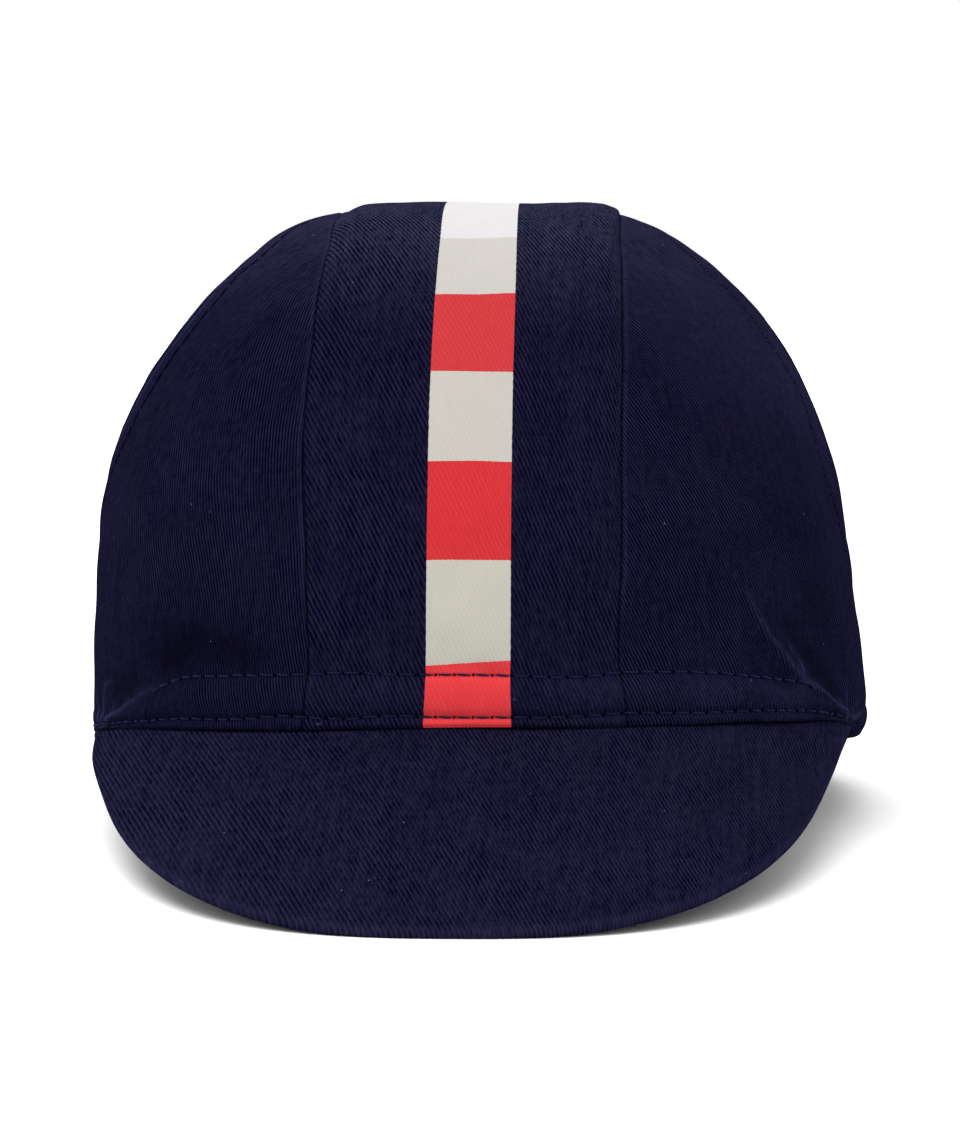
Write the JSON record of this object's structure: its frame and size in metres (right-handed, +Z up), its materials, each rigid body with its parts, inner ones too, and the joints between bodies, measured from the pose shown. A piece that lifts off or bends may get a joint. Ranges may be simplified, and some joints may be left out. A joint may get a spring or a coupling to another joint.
{
  "type": "cycling cap",
  "caption": "Soft cotton cycling cap: a rounded crown of five cloth panels with a block stripe along its centre strip, a sweatband and a short bent-down peak.",
  "frame": {"origin": "on the floor, under the middle of the whole cap's box", "axes": "+Z up from the floor, -Y towards the tip of the peak, +X towards the wearer's left; the cap rests on the back of its lower edge and the tip of its peak"},
  "size_m": [0.1722, 0.2522, 0.1344],
  "materials": {
    "strip_cloth": "dark navy cotton twill with a printed stripe of red, beige and white blocks, matt",
    "panel_cloth": "dark navy cotton twill, matt",
    "band_cloth": "dark navy cotton tape, matt",
    "peak_cloth": "dark navy cotton twill over a thin stiff core, matt"
  },
  "bodies": {
    "root": {"centre_strip": "strip_cloth", "front_panel_left": "panel_cloth", "front_panel_right": "panel_cloth", "rear_panel_left": "panel_cloth", "rear_panel_right": "panel_cloth", "sweatband": "band_cloth", "peak_top": "peak_cloth", "peak_underside": "peak_cloth"}
  },
  "joints": []
}
